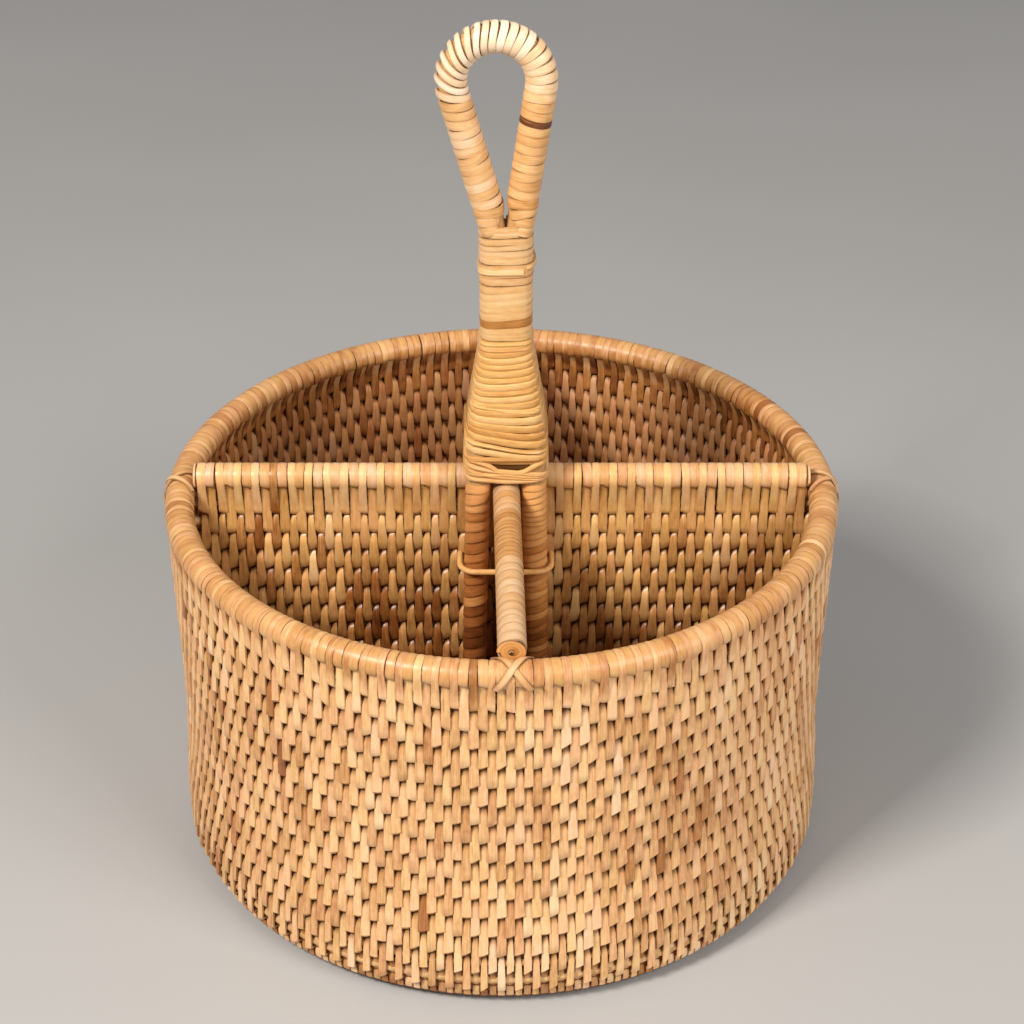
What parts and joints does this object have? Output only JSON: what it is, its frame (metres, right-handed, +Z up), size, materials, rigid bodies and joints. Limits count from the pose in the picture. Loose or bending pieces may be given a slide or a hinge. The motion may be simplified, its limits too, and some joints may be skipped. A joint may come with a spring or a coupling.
{
  "type": "utensil caddy",
  "caption": "Round woven rattan cutlery caddy with divided compartments and a tall looped carrying handle.",
  "frame": {"origin": "on the table, under the centre of the basket", "axes": "+Z up along the handle, -Y towards the front half divider, +X to the right along the cross divider"},
  "size_m": [0.2518, 0.2519, 0.3283],
  "materials": {
    "rattan_weave": "woven rattan peel, semi-matt",
    "rattan_binding": "wound rattan peel, satin",
    "handle_binding": "wound rattan peel, satin",
    "leg_binding": "wound rattan peel, darker with age, satin",
    "rattan_cane": "round cane, satin",
    "lashing_peel": "flat rattan peel, semi-matt",
    "rattan_core": "bare rattan pole, matt"
  },
  "bodies": {
    "root": {"base_weave": "rattan_weave", "front_left_wall_weave": "rattan_weave", "front_right_wall_weave": "rattan_weave", "back_left_wall_weave": "rattan_weave", "back_right_wall_weave": "rattan_weave", "cross_weave": "rattan_weave", "front_weave": "rattan_weave", "back_weave": "rattan_weave", "front_left_rim_binding": "rattan_binding", "front_right_rim_binding": "rattan_binding", "back_left_rim_binding": "rattan_binding", "back_right_rim_binding": "rattan_binding", "cross_rail_binding": "rattan_binding", "front_rail_binding": "rattan_binding", "back_rail_binding": "rattan_binding", "loop_binding": "handle_binding", "upper_band": "handle_binding", "lower_band": "handle_binding", "shaft_binding": "handle_binding", "front_left_leg_binding": "leg_binding", "front_right_leg_binding": "leg_binding", "rear_left_leg_binding": "leg_binding", "rear_right_leg_binding": "leg_binding", "neck_binding": "rattan_cane", "front_leg_tie": "rattan_cane", "rear_leg_tie": "rattan_cane", "front_rim_lashing": "lashing_peel", "back_rim_lashing": "lashing_peel", "left_rim_lashing": "lashing_peel", "right_rim_lashing": "lashing_peel", "base_hoop": "rattan_core", "base_ribs": "rattan_core", "wall_hoops": "rattan_core", "rim_core": "rattan_core", "handle_rod": "rattan_core", "rear_strut_left": "rattan_core", "rear_strut_right": "rattan_core", "cross_rail_core": "rattan_core", "cross_ribs": "rattan_core", "front_rail_core": "rattan_core", "front_ribs": "rattan_core", "back_rail_core": "rattan_core", "back_ribs": "rattan_core"}
  },
  "joints": []
}
